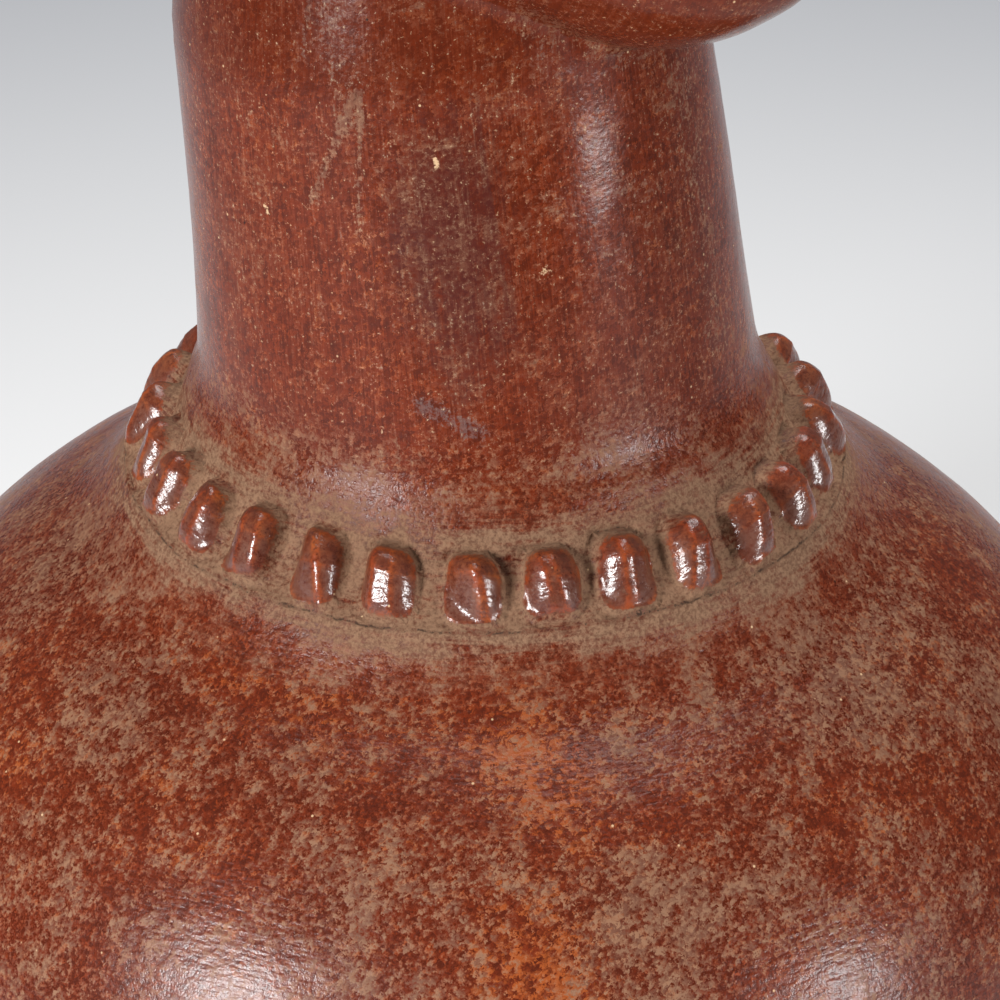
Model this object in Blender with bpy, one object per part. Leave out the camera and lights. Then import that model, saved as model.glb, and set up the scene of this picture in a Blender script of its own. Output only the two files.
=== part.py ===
"""Figural storage vessel of burnished red clay, hollow, coil built in one piece.

A round-bottomed jar carries a leaning neck, a necklace of beads stands where
the two meet, and the neck ends in a head whose crown is open as the jar's mouth.
The face looks along -Y. The origin is the middle of the resting spot, +Z is up.
The wall is one skin of closed rings, from the underside up over the head and
down again inside, so that changing a size moves everything that follows it.
"""

import math

import bmesh
import bpy
import numpy as np

# Jar, in metres
BASE_RADIUS = 0.060
BELLY_RADIUS = 0.158
BELLY_HEIGHT = 0.134
SHOULDER_RISE = 0.107
WALL = 0.009
FLOOR = 0.012

# Junction of shoulder and neck, and the necklace on it. A bend is where a curve's middle point
# lies: shares of the way across and up for the collar, of the way out for the sweep below it.
COLLAR_RADIUS = 0.0845
COLLAR_LIFT = 0.0100
COLLAR_HEIGHT = 0.0210
COLLAR_BEND_OUT = 0.36
COLLAR_BEND_UP = 0.25
SWEEP_WIDTH = 0.019
SWEEP_BEND = 0.38
BEAD_COUNT = 28
BEAD_WIDTH = 0.0150
BEAD_LENGTH = 0.0190
BEAD_RELIEF = 0.0056
BEAD_PLACE = 0.37
BEAD_SQUARENESS = 2.8

# Neck
NECK_FOOT_RADIUS = 0.0660
NECK_TOP_RADIUS = 0.0598
NECK_LENGTH = 0.0910
NECK_FLARE = 0.0020
NECK_LEAN = math.radians(7.0)

# Head, and the mouth of the jar in its crown
HEAD_HEIGHT = 0.185
HEAD_FORWARD = 0.020
HEAD_WALL = 0.011
MOUTH_RADIUS = 0.037
RIM_WALL = 0.0085
RIM_HEIGHT = 0.013
RIM_FLARE = 0.004

# Levels in the head, as shares of its height up or down from its middle
NECK_LEVEL = -0.475
RIM_LEVEL = 0.49
CAVITY_TOP_LEVEL = 0.40

# Columns of the skin, the same all the way round, or closer over the face
JAR_COLUMNS = 52
INSIDE_COLUMNS = 24
RIM_COLUMNS = 48
HEAD_COLUMNS = 60
FACE_CROWDING = 0.70

SHARP_FROM = math.radians(50.0)
CLAY_RED = (0.205, 0.048, 0.024, 1.0)


def even_turns(count):
    """Angles round the jar, from the face's side towards +X, in radians."""
    return np.arange(count) * (math.tau / count)


def bead_turns():
    """Four columns to a bead: its two edges and the two sides of its crest. A gap is under the chin."""
    pitch = math.tau / BEAD_COUNT
    half = BEAD_WIDTH / 2 / COLLAR_RADIUS
    columns = pitch / 2 + half * np.array([-1.0, -0.55, 0.55, 1.0])
    return np.concatenate([bead * pitch + columns for bead in range(BEAD_COUNT)])


def head_turns():
    """Columns that crowd together over the face."""
    even = even_turns(HEAD_COLUMNS)
    return even - FACE_CROWDING * np.sin(even)


def ease(share):
    share = np.clip(share, 0.0, 1.0)
    return share * share * (3 - 2 * share)


# Outline of the jar

def lower_wall(steps):
    """(radius, height) of the round underside, from the resting spot to the widest line."""
    depth = BELLY_HEIGHT / math.sqrt(1 - (BASE_RADIUS / BELLY_RADIUS) ** 2)
    start = math.acos(BASE_RADIUS / BELLY_RADIUS)
    swing = start * (1 - np.linspace(0, 1, steps))
    return [(BELLY_RADIUS * math.cos(a), BELLY_HEIGHT - depth * math.sin(a)) for a in swing]


def dome_height(radius):
    """Height of the shoulder's ellipse at a radius."""
    return BELLY_HEIGHT + SHOULDER_RISE * math.sqrt(1 - min(1.0, radius / BELLY_RADIUS) ** 2)


def collar_foot():
    """Where the necklace's lower edge meets the shoulder."""
    return COLLAR_RADIUS, dome_height(COLLAR_RADIUS) + COLLAR_LIFT


def upper_wall(steps):
    """(radius, height) of the shoulder, from above the widest line to where it sweeps up."""
    end = math.acos((COLLAR_RADIUS + SWEEP_WIDTH) / BELLY_RADIUS)
    swing = np.linspace(0, end, steps + 1)[1:]
    return [(BELLY_RADIUS * math.cos(a), BELLY_HEIGHT + SHOULDER_RISE * math.sin(a)) for a in swing]


def sweep_wall(steps):
    """(radius, height) of the short hollow sweep between shoulder and necklace."""
    foot_radius, foot_height = collar_foot()
    start_radius = COLLAR_RADIUS + SWEEP_WIDTH
    start_height = dome_height(start_radius)
    fall = (BELLY_RADIUS / SHOULDER_RISE) ** 2 * (start_height - BELLY_HEIGHT) / start_radius
    bend_radius = COLLAR_RADIUS + SWEEP_BEND * SWEEP_WIDTH
    bend_height = start_height + (start_radius - bend_radius) / fall
    points = []
    for t in np.linspace(0, 1, steps + 1)[1:]:
        a, b, c = (1 - t) ** 2, 2 * t * (1 - t), t * t
        points.append((a * start_radius + b * bend_radius + c * foot_radius,
                       a * start_height + b * bend_height + c * foot_height))
    return points


# Necklace

def collar_frame(share):
    """(radius, height) on the hollow band under the beads, and the way out of it, at a share of its width."""
    foot_radius, foot_height = collar_foot()
    top_radius = NECK_FOOT_RADIUS + NECK_FLARE
    run = foot_radius - top_radius
    foot = np.array([foot_radius, foot_height])
    bend = np.array([top_radius + COLLAR_BEND_OUT * run, foot_height + COLLAR_BEND_UP * COLLAR_HEIGHT])
    top = np.array([top_radius, foot_height + COLLAR_HEIGHT])
    point = (1 - share) ** 2 * foot + 2 * share * (1 - share) * bend + share ** 2 * top
    along = (1 - share) * (bend - foot) + share * (top - bend)
    out = np.array([along[1], -along[0]]) / np.linalg.norm(along)
    return point, out


def bead_rise(turns, share):
    """How far the beads stand out of the band at these angles, at a share of the band's width."""
    pitch = math.tau / BEAD_COUNT
    across = (turns % pitch - pitch / 2) * COLLAR_RADIUS / (BEAD_WIDTH / 2)
    width = math.hypot(COLLAR_RADIUS - NECK_FOOT_RADIUS - NECK_FLARE, COLLAR_HEIGHT)
    along = (share - BEAD_PLACE) * width / (BEAD_LENGTH / 2)
    dome = 1 - np.abs(across) ** BEAD_SQUARENESS - abs(along) ** BEAD_SQUARENESS
    return BEAD_RELIEF * np.sqrt(np.clip(dome, 0, None))


def collar_ring(turns, share):
    """One ring across the necklace, with the beads standing out square to the band."""
    (radius, height), out = collar_frame(share)
    rise = bead_rise(turns, share)
    return ring_points(turns, radius + rise * out[0], height + rise * out[1])


# Neck

def neck_line(share):
    """(centre's Y, centre's Z, tilt) on the neck's leaning axis, from the collar to the head."""
    foot_height = collar_foot()[1]
    height = foot_height + COLLAR_HEIGHT + share * NECK_LENGTH
    back = (height - foot_height - BEAD_PLACE * COLLAR_HEIGHT) * math.tan(NECK_LEAN)
    return back, height, NECK_LEAN * ease(share * 1.5)


def neck_radius(share):
    flare = NECK_FLARE * math.exp(-share * NECK_LENGTH / (1.5 * NECK_FLARE))
    return NECK_FOOT_RADIUS + (NECK_TOP_RADIUS - NECK_FOOT_RADIUS) * share + flare


def tube_ring(turns, radius, share):
    """A ring square to the neck's axis."""
    back, height, tilt = neck_line(share)
    x, y = radius * np.sin(turns), -radius * np.cos(turns)
    return np.stack([x, back + y * math.cos(tilt), height + 0 * x - y * math.sin(tilt)], 1)


# Head. Its forms are shares of the head's height: x to its left, y back and z up from its middle.

def head_centre():
    """The head's middle, on the neck's line."""
    back, height, _ = neck_line(1.0)
    reach = -NECK_LEVEL * HEAD_HEIGHT
    return np.array([0.0, back + reach * math.sin(NECK_LEAN), height + reach * math.cos(NECK_LEAN)])


def egg(p, middle, half):
    """Distance to an egg-shaped lump of clay."""
    q = (p - np.array(middle)) / np.array(half)
    size = np.linalg.norm(q, axis=-1)
    slope = np.linalg.norm(q / np.array(half), axis=-1)
    return size * (size - 1) / np.maximum(slope, 1e-9)


def join(a, b, soft):
    h = np.clip(0.5 + 0.5 * (b - a) / soft, 0, 1)
    return b + (a - b) * h - soft * h * (1 - h)


def forward(p):
    """Moves a place into the head's own frame, which stands forward of the neck's line."""
    return p + np.array([0.0, HEAD_FORWARD / HEAD_HEIGHT, 0.0])


def pair(p):
    """Folds the right side onto the left, for what comes in pairs."""
    return np.stack([np.abs(p[..., 0]), p[..., 1], p[..., 2]], -1)


def skull(p, thinner=0.0):
    """Cranium and face mass, without the features."""
    q = forward(p)
    cranium = egg(q, (0, 0.040, 0.090), np.array([0.370, 0.420, 0.410]) - thinner)
    face = egg(q, (0, -0.125, -0.140), np.array([0.305, 0.275, 0.350]) - thinner)
    return join(cranium, face, 0.12)


def neck_stump(p, thinner=0.0):
    """The neck's top inside the head, a little narrower as it rises, out of which jaw and nape grow."""
    radius = (NECK_TOP_RADIUS - thinner) / HEAD_HEIGHT - 0.16 * (p[..., 2] - NECK_LEVEL)
    return np.maximum(np.linalg.norm(p[..., :2], axis=-1) - radius, p[..., 2] + 0.10)


def outside_form(p):
    """The head with jaw, ears and a close cap of hair, on its neck."""
    q = pair(forward(p))
    form = join(skull(p), egg(q, (0, -0.270, -0.380), (0.165, 0.140, 0.115)), 0.09)
    form = join(form, neck_stump(p), 0.045)
    ear = egg(q, (0.350, 0.030, -0.040), (0.050, 0.075, 0.140))
    hollow = egg(q, (0.415, 0.005, -0.030), (0.040, 0.045, 0.090))
    form = join(form, -join(-ear, hollow, 0.02), 0.025)
    cap = egg(q, (0, 0.050, 0.095), (0.388, 0.436, 0.420))
    above = 0.87 * (q[..., 2] - 0.230) + 0.50 * (q[..., 1] + 0.25)
    return join(form, cap + 0.5 * np.clip(0.045 - above, 0, None), 0.012)


def inside_form(p):
    return join(skull(p, HEAD_WALL / HEAD_HEIGHT), neck_stump(p, WALL), 0.05)


def mound(across, up, half_width, half_height, rise):
    """A soft bump in the face, or a hollow where its rise is negative."""
    return rise * np.exp(-(across / half_width) ** 2 - (up / half_height) ** 2)


def nose(x, z):
    """A straight ridge from between the brows that ends in a tip and two wings."""
    down = np.clip((0.075 - z) / 0.250, 0, 1)
    ridge = (0.026 + 0.056 * down) * np.exp(-(x / (0.034 + 0.022 * down)) ** 2)
    bridge = ridge * ease((0.130 - z) / 0.090)
    tip = mound(x, z + 0.168, 0.052, 0.040, 0.020)
    wings = mound(np.abs(x) - 0.062, z + 0.185, 0.034, 0.036, 0.034)
    return (bridge + tip + wings) * ease((z + 0.230) / 0.050)


def face_relief(x, z):
    """How far the features stand forward of the face mass, seen from the front."""
    side = np.abs(x)
    brow = mound(side - 0.125, z - 0.088 + 0.9 * (side - 0.125) ** 2, 0.095, 0.030, 0.018)
    socket = mound(side - 0.140, z - 0.005, 0.085, 0.058, -0.044)
    eye = mound(side - 0.140, z + 0.004, 0.060, 0.028, 0.044)
    cheek = mound(side - 0.185, z + 0.120, 0.080, 0.080, 0.016)
    muzzle = mound(x, z + 0.300, 0.130, 0.080, 0.014)
    upper = mound(x, z + 0.288, 0.090, 0.019, 0.032)
    lower = mound(x, z + 0.336, 0.074, 0.021, 0.034)
    under_lip = mound(x, z + 0.378, 0.080, 0.020, -0.010)
    chin = mound(x, z + 0.425, 0.080, 0.040, 0.018)
    return brow + socket + eye + cheek + muzzle + upper + lower + under_lip + chin + nose(x, z)


def ray_hits(turns, dip, form):
    """Where rays at one angle from the crown leave the form. Their start moves forward as they rise."""
    rays = np.stack([np.sin(turns) * math.sin(dip), -np.cos(turns) * math.sin(dip),
                     np.full(len(turns), math.cos(dip))], 1)
    start = -forward(np.zeros(3)) * (1 + math.cos(dip)) / 2
    near, far = np.full(len(turns), 0.15), np.full(len(turns), 1.1)
    for _ in range(34):
        middle = (near + far) / 2
        within = form(start + rays * middle[:, None]) < 0
        near, far = np.where(within, middle, near), np.where(within, far, middle)
    return start + rays * near[:, None]


def head_ring(turns, dip):
    """A ring of the head's skin, its front pushed forward by the features."""
    points = ray_hits(turns, dip, outside_form)
    own = forward(points)
    front = ease((-own[:, 1] - 0.12) / 0.10) * ease((own[:, 2] + 0.50) / 0.06)
    points[:, 1] -= front * face_relief(own[:, 0], own[:, 2])
    return from_head(points)


def from_head(p):
    """Head shares to metres, leaned back with the neck."""
    x, y, z = (p * HEAD_HEIGHT).T
    c, s = math.cos(NECK_LEAN), math.sin(NECK_LEAN)
    return np.stack([x, y * c + z * s, z * c - y * s], 1) + head_centre()


def head_dips():
    """Angles from the crown: from under the jaw, closer over the face, up to the rim's foot."""
    lowest = math.atan2(NECK_TOP_RADIUS, NECK_LEVEL * HEAD_HEIGHT)
    jaw = np.linspace(lowest, math.radians(126), 6)
    face = np.linspace(math.radians(126), math.radians(80), 21)[1:]
    brow = np.linspace(math.radians(80), rim_dip(), 8)[1:]
    return np.concatenate([jaw, face, brow])


def rim_dip():
    return math.atan2(MOUTH_RADIUS + RIM_WALL, RIM_LEVEL * HEAD_HEIGHT)


def rim_ring(turns, radius, height):
    """A ring of the mouth's low collar, at a height above the crown."""
    x, y = radius * np.sin(turns), -radius * np.cos(turns) - HEAD_FORWARD
    level = np.full(len(turns), RIM_LEVEL * HEAD_HEIGHT + height)
    return from_head(np.column_stack([x, y, level]) / HEAD_HEIGHT)


# Rings to skin

def ring_points(turns, radius, height):
    """A ring about the jar's own axis."""
    x, y = radius * np.sin(turns), -radius * np.cos(turns)
    return np.stack([x, y, height + 0 * x], 1)


def outside_rings():
    """Every ring of the outside, from the resting spot to the rim's edge."""
    jar, beads, head = even_turns(JAR_COLUMNS), bead_turns(), head_turns()
    rim, outer = even_turns(RIM_COLUMNS), MOUTH_RADIUS + RIM_WALL
    rings = [ring_points(jar, r, z) for r, z in lower_wall(9) + upper_wall(8) + sweep_wall(3)[:-1]]
    rings += [collar_ring(beads, share) for share in (0.0, 0.06, 0.16, 0.37, 0.58, 0.68, 0.74, 0.93)]
    rings += [tube_ring(jar, neck_radius(share), share) for share in (0.03, 0.14, 0.45)]
    rings += [tube_ring(head, neck_radius(0.82), 0.82)]
    rings += [head_ring(head, dip) for dip in head_dips()]
    rings += [rim_ring(rim, outer + RIM_FLARE * flare, RIM_HEIGHT * height)
              for flare, height in ((0.0, 0.25), (0.5, 0.70), (0.8, 0.92), (0.3, 1.0))]
    return rings


def inside_rings():
    """Every ring of the inside, from the rim's edge down to the floor."""
    turns = even_turns(INSIDE_COLUMNS)
    rings = [rim_ring(turns, MOUTH_RADIUS + RIM_FLARE * flare, RIM_HEIGHT * height)
             for flare, height in ((0.3, 0.98), (0.0, 0.75), (0.0, 0.0))]
    high = math.atan2(MOUTH_RADIUS, CAVITY_TOP_LEVEL * HEAD_HEIGHT)
    low = math.atan2(NECK_TOP_RADIUS - WALL, NECK_LEVEL * HEAD_HEIGHT)
    rings += [from_head(ray_hits(turns, dip, inside_form)) for dip in np.linspace(high, low, 8)]
    rings += [tube_ring(turns, neck_radius(share) - WALL, share) for share in (0.90, 0.50, 0.12)]
    rings += [collar_lining(turns, share) for share in (0.85, 0.45, 0.05)]
    rings += [jar_lining(turns, r, z) for r, z in reversed(lower_wall(8) + upper_wall(5))]
    return rings


def collar_lining(turns, share):
    """A ring of the inside, one wall behind the band under the beads."""
    (radius, height), out = collar_frame(share)
    return ring_points(turns, radius - WALL * out[0], height - WALL * out[1])


def jar_lining(turns, radius, height):
    """A ring of the inside, one wall in from the jar's outline, and one floor up from it below."""
    above = height - BELLY_HEIGHT
    squeeze = (BELLY_HEIGHT - FLOOR) / BELLY_HEIGHT if above < 0 else 1 - WALL / SHOULDER_RISE
    return ring_points(turns, radius * (1 - WALL / BELLY_RADIUS), BELLY_HEIGHT + above * squeeze)


def ring_edges(bm, points):
    """A closed ring of edges through the points."""
    corners = [bm.verts.new(point) for point in points]
    return [bm.edges.new(ends) for ends in zip(corners, corners[1:] + corners[:1])]


def clay(name, colour, roughness):
    material = bpy.data.materials.new(name)
    material.use_nodes = True
    shader = material.node_tree.nodes["Principled BSDF"]
    shader.inputs["Base Color"].default_value = colour
    shader.inputs["Roughness"].default_value = roughness
    return material


def build_vessel():
    bm = bmesh.new()
    rings = [ring_edges(bm, points) for points in outside_rings() + inside_rings()]
    for lower, upper in zip(rings, rings[1:]):
        bmesh.ops.bridge_loops(bm, edges=lower + upper)
    bmesh.ops.edgeloop_fill(bm, edges=rings[0])
    bmesh.ops.edgeloop_fill(bm, edges=rings[-1])
    bmesh.ops.recalc_face_normals(bm, faces=bm.faces)
    mesh = bpy.data.meshes.new("vessel")
    bm.to_mesh(mesh)
    bm.free()
    mesh.shade_smooth()
    mesh.set_sharp_from_angle(angle=SHARP_FROM)
    mesh.materials.append(clay("burnished_clay", CLAY_RED, 0.42))
    vessel = bpy.data.objects.new("vessel", mesh)
    bpy.context.scene.collection.objects.link(vessel)


def main():
    for obj in list(bpy.data.objects):
        bpy.data.objects.remove(obj)
    build_vessel()


main()
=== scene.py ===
"""Looks of the figural storage vessel: one hollow skin of burnished red clay.

The skin follows the rings of the solid model, with many more of them. A node tree raises the
necklace's beads, the combed hair and the unevenness of hand-built clay out of it. The clay's
finish is a burnished slip with flakes of a dull film, and dust in the groove round the necklace.
"""

import math

import bmesh
import bpy
import numpy as np
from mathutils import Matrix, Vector


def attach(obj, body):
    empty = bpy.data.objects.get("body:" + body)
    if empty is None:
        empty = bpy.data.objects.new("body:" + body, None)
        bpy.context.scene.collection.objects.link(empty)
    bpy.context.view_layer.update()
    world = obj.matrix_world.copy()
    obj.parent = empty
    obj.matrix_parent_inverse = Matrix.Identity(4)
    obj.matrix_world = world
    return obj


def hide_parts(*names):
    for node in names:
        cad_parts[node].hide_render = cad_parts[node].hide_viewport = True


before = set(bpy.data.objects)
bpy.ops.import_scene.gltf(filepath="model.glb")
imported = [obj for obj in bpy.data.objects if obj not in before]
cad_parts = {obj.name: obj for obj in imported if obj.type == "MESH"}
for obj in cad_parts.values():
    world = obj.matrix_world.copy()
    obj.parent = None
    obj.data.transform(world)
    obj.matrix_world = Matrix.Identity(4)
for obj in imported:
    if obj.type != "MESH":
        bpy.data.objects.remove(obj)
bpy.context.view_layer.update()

# Sizes of the solid model, in metres
BASE_RADIUS = 0.060
BELLY_RADIUS = 0.158
BELLY_HEIGHT = 0.134
SHOULDER_RISE = 0.107
WALL = 0.009
FLOOR = 0.012
COLLAR_RADIUS = 0.0845
COLLAR_LIFT = 0.0100
COLLAR_HEIGHT = 0.0210
COLLAR_BEND_OUT = 0.36
COLLAR_BEND_UP = 0.25
SWEEP_WIDTH = 0.019
SWEEP_BEND = 0.38
BEAD_COUNT = 28
BEAD_WIDTH = 0.0150
BEAD_LENGTH = 0.0190
BEAD_RELIEF = 0.0056
BEAD_PLACE = 0.37
BEAD_SQUARENESS = 3.2
BEAD_SWELL = 0.42
NECK_FOOT_RADIUS = 0.0660
NECK_TOP_RADIUS = 0.0598
NECK_LENGTH = 0.0910
NECK_FLARE = 0.0020
NECK_LEAN = math.radians(7.0)
HEAD_HEIGHT = 0.185
HEAD_FORWARD = 0.020
HEAD_WALL = 0.011
MOUTH_RADIUS = 0.037
RIM_WALL = 0.0085
RIM_HEIGHT = 0.013
RIM_FLARE = 0.004
NECK_LEVEL = -0.475
RIM_LEVEL = 0.49
CAVITY_TOP_LEVEL = 0.40

# Columns and rings of the skin
BODY_COLUMNS = 168
SHOULDER_COLUMNS = 336
COLLAR_COLUMNS = 24 * BEAD_COUNT
HEAD_COLUMNS = 232
RIM_COLUMNS = 112
INSIDE_COLUMNS = 64
FACE_CROWDING = 0.55
SHARP_FROM = math.radians(50.0)
NO_BEAD = 1.0

# Neck's thumb dents: turn in degrees, share of the neck's length, half turn, half share, depth
NECK_DENTS = (
    (-28.6, 0.12, 20.0, 0.20, 0.0011),
    (-38.8, 0.80, 17.0, 0.20, 0.0010),
    (-84.0, 0.55, 24.0, 0.34, 0.0006),
    (70.0, 0.40, 26.0, 0.26, 0.0010),
    (165.0, 0.62, 30.0, 0.24, 0.0009),
    (-147.0, 0.38, 24.0, 0.36, 0.0015),
)

# Camera, as angles round the vessel from the side of the face
CAMERA_AZIMUTH = math.radians(-55.86)
CAMERA_ELEVATION = math.radians(29.3)
CAMERA_DISTANCE = 0.96
CAMERA_AIM_HEIGHT = 0.2194
CAMERA_AIM_RIGHT = 0.0036
CAMERA_LENS = 145.9

# Soft boxes: name, azimuth from the camera's, elevation, distance, width, height, watts
SOFT_BOXES = (
    ("left_box", -42.0, 18.0, 1.5, 0.36, 0.42, 24.0),
    ("right_box", 59.0, 7.5, 1.6, 0.32, 0.38, 12.0),
    ("top_box", 165.0, 72.0, 1.7, 1.30, 1.30, 29.0),
)
LIT_HEIGHT = 0.22
SKY_STRENGTH = 0.12
FLOOR_HALF = 6.0
# The floor's painted shade: where its darkening starts and ends, and its near and far colours
FLOOR_FADE = (0.30, 1.10)
FLOOR_NEAR = (0.80, 0.80, 0.80, 1.0)
FLOOR_FAR = (0.45, 0.46, 0.49, 1.0)


# Outline of the jar

def even_turns(count):
    """Angles round the jar, from the face's side towards +X."""
    return np.arange(count) * (math.tau / count)


def ease(share):
    share = np.clip(share, 0.0, 1.0)
    return share * share * (3 - 2 * share)


def ring(points, turns, band=NO_BEAD, out=None, hair=0.0, lining=0.0):
    """A ring of the skin, with what the clay's relief and finish need to know of it."""
    count = len(points)
    return {
        "points": points,
        "turn": turns,
        "band": np.full(count, band),
        "out": np.zeros((count, 3)) if out is None else out,
        "hair": np.full(count, hair) if np.isscalar(hair) else hair,
        "lining": np.full(count, lining),
    }


def jar_ring(turns, radius, height, shift=0.0, **facts):
    """A ring about the jar's own axis, or shifted back from it."""
    x, y = radius * np.sin(turns), shift - radius * np.cos(turns)
    return ring(np.stack([x, y, height + 0 * x], 1), turns, **facts)


def lower_wall(steps):
    """(radius, height) of the round underside, from the resting spot to the widest line."""
    depth = BELLY_HEIGHT / math.sqrt(1 - (BASE_RADIUS / BELLY_RADIUS) ** 2)
    start = math.acos(BASE_RADIUS / BELLY_RADIUS)
    swing = start * (1 - np.linspace(0, 1, steps))
    return [(BELLY_RADIUS * math.cos(a), BELLY_HEIGHT - depth * math.sin(a)) for a in swing]


def dome_height(radius):
    """Height of the shoulder's ellipse at a radius."""
    return BELLY_HEIGHT + SHOULDER_RISE * math.sqrt(1 - min(1.0, radius / BELLY_RADIUS) ** 2)


def collar_foot():
    """Where the necklace's lower edge meets the shoulder."""
    return COLLAR_RADIUS, dome_height(COLLAR_RADIUS) + COLLAR_LIFT


def upper_wall(steps):
    """(radius, height) of the shoulder, from above the widest line to where it sweeps up."""
    end = math.acos((COLLAR_RADIUS + SWEEP_WIDTH) / BELLY_RADIUS)
    swing = np.linspace(0, end, steps + 1)[1:]
    return [(BELLY_RADIUS * math.cos(a), BELLY_HEIGHT + SHOULDER_RISE * math.sin(a)) for a in swing]


def curve(start, bend, end, share):
    """(point, way along) on a curve from start to end that is pulled towards its bend."""
    start, bend, end = np.array(start), np.array(bend), np.array(end)
    point = (1 - share) ** 2 * start + 2 * share * (1 - share) * bend + share ** 2 * end
    along = (1 - share) * (bend - start) + share * (end - bend)
    return point, along / np.linalg.norm(along)


def sweep_line(share):
    """The short hollow sweep between shoulder and necklace."""
    start_radius = COLLAR_RADIUS + SWEEP_WIDTH
    start_height = dome_height(start_radius)
    fall = (BELLY_RADIUS / SHOULDER_RISE) ** 2 * (start_height - BELLY_HEIGHT) / start_radius
    bend_radius = COLLAR_RADIUS + SWEEP_BEND * SWEEP_WIDTH
    bend_height = start_height + (start_radius - bend_radius) / fall
    return curve((start_radius, start_height), (bend_radius, bend_height), collar_foot(), share)


def collar_line(share):
    """The hollow band under the beads."""
    foot_radius, foot_height = collar_foot()
    top_radius = NECK_FOOT_RADIUS + NECK_FLARE
    bend = (top_radius + COLLAR_BEND_OUT * (foot_radius - top_radius),
            foot_height + COLLAR_BEND_UP * COLLAR_HEIGHT)
    return curve((foot_radius, foot_height), bend, (top_radius, foot_height + COLLAR_HEIGHT), share)


def band_width():
    return math.hypot(COLLAR_RADIUS - NECK_FOOT_RADIUS - NECK_FLARE, COLLAR_HEIGHT)


def outward(turns, along):
    """Directions square to an outline that runs along, all the way round."""
    return np.stack([along[1] * np.sin(turns), -along[1] * np.cos(turns),
                     np.full(len(turns), -along[0])], 1)


def sweep_rings(steps):
    """Rings from the shoulder in to the necklace's lower edge."""
    turns, foot = even_turns(COLLAR_COLUMNS), np.array(collar_foot())
    rings = []
    for share in np.linspace(0, 1, steps + 1)[1:-1]:
        point, along = sweep_line(share)
        band = -BEAD_PLACE * band_width() - np.linalg.norm(foot - point)
        rings.append(jar_ring(turns, *point, band=band, out=outward(turns, along)))
    return rings


def collar_rings(steps):
    """Rings across the necklace's band, up to the neck, which already leans a little there."""
    turns, foot_height = even_turns(COLLAR_COLUMNS), collar_foot()[1]
    rings = []
    for share in np.linspace(0, 1, steps):
        (radius, height), along = collar_line(share)
        shift = max(0.0, height - foot_height - BEAD_PLACE * COLLAR_HEIGHT) * math.tan(NECK_LEAN)
        band = (share - BEAD_PLACE) * band_width()
        rings.append(jar_ring(turns, radius, height, shift, band=band, out=outward(turns, along)))
    return rings


# Neck

def neck_line(share):
    """(centre's Y, centre's Z, tilt) on the neck's leaning axis, from the collar to the head."""
    foot_height = collar_foot()[1]
    height = foot_height + COLLAR_HEIGHT + share * NECK_LENGTH
    back = (height - foot_height - BEAD_PLACE * COLLAR_HEIGHT) * math.tan(NECK_LEAN)
    return back, height, NECK_LEAN * ease(share * 1.5)


def neck_radius(share):
    flare = NECK_FLARE * math.exp(-share * NECK_LENGTH / (1.5 * NECK_FLARE))
    return NECK_FOOT_RADIUS + (NECK_TOP_RADIUS - NECK_FOOT_RADIUS) * share + flare


def neck_dents(turns, share):
    """Depth of the shallow dents that a thumb left in the neck."""
    depth = np.zeros(len(turns))
    for turn, place, half_turn, half_share, deep in NECK_DENTS:
        away = (turns - math.radians(turn) + math.pi) % math.tau - math.pi
        depth += deep * np.exp(-(away / math.radians(half_turn)) ** 2 - ((share - place) / half_share) ** 2)
    return depth * ease(share / 0.06) * ease((0.98 - share) / 0.12)


def tube_ring(turns, radius, share, **facts):
    """A ring square to the neck's axis."""
    back, height, tilt = neck_line(share)
    x, y = radius * np.sin(turns), -radius * np.cos(turns)
    points = np.stack([x, back + y * math.cos(tilt), height + 0 * x - y * math.sin(tilt)], 1)
    return ring(points, turns, **facts)


# Head. Its forms are shares of the head's height: x to its left, y back and z up from its middle.

def head_turns():
    """Columns that crowd together over the face."""
    even = even_turns(HEAD_COLUMNS)
    return even - FACE_CROWDING * np.sin(even)


def head_centre():
    """The head's middle, on the neck's line."""
    back, height, _ = neck_line(1.0)
    reach = -NECK_LEVEL * HEAD_HEIGHT
    return np.array([0.0, back + reach * math.sin(NECK_LEAN), height + reach * math.cos(NECK_LEAN)])


def egg(p, middle, half):
    """Distance to an egg-shaped lump of clay."""
    q = (p - np.array(middle)) / np.array(half)
    size = np.linalg.norm(q, axis=-1)
    slope = np.linalg.norm(q / np.array(half), axis=-1)
    return size * (size - 1) / np.maximum(slope, 1e-9)


def join(a, b, soft):
    h = np.clip(0.5 + 0.5 * (b - a) / soft, 0, 1)
    return b + (a - b) * h - soft * h * (1 - h)


def forward(p):
    """Moves a place into the head's own frame, which stands forward of the neck's line."""
    return p + np.array([0.0, HEAD_FORWARD / HEAD_HEIGHT, 0.0])


def pair(p):
    """Folds the right side onto the left, for what comes in pairs."""
    return np.stack([np.abs(p[..., 0]), p[..., 1], p[..., 2]], -1)


def skull(p, thinner=0.0):
    """Cranium and face mass, without the features."""
    q = forward(p)
    cranium = egg(q, (0, 0.040, 0.090), np.array([0.370, 0.420, 0.410]) - thinner)
    face = egg(q, (0, -0.125, -0.140), np.array([0.305, 0.275, 0.350]) - thinner)
    return join(cranium, face, 0.12)


def neck_stump(p, thinner=0.0):
    """The neck's top inside the head, a little narrower as it rises, out of which jaw and nape grow."""
    radius = (NECK_TOP_RADIUS - thinner) / HEAD_HEIGHT - 0.16 * np.maximum(p[..., 2] - NECK_LEVEL, 0)
    return np.maximum(np.linalg.norm(p[..., :2], axis=-1) - radius, p[..., 2] + 0.10)


def above_hairline(q):
    return 0.87 * (q[..., 2] - 0.230) + 0.50 * (q[..., 1] + 0.25)


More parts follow.
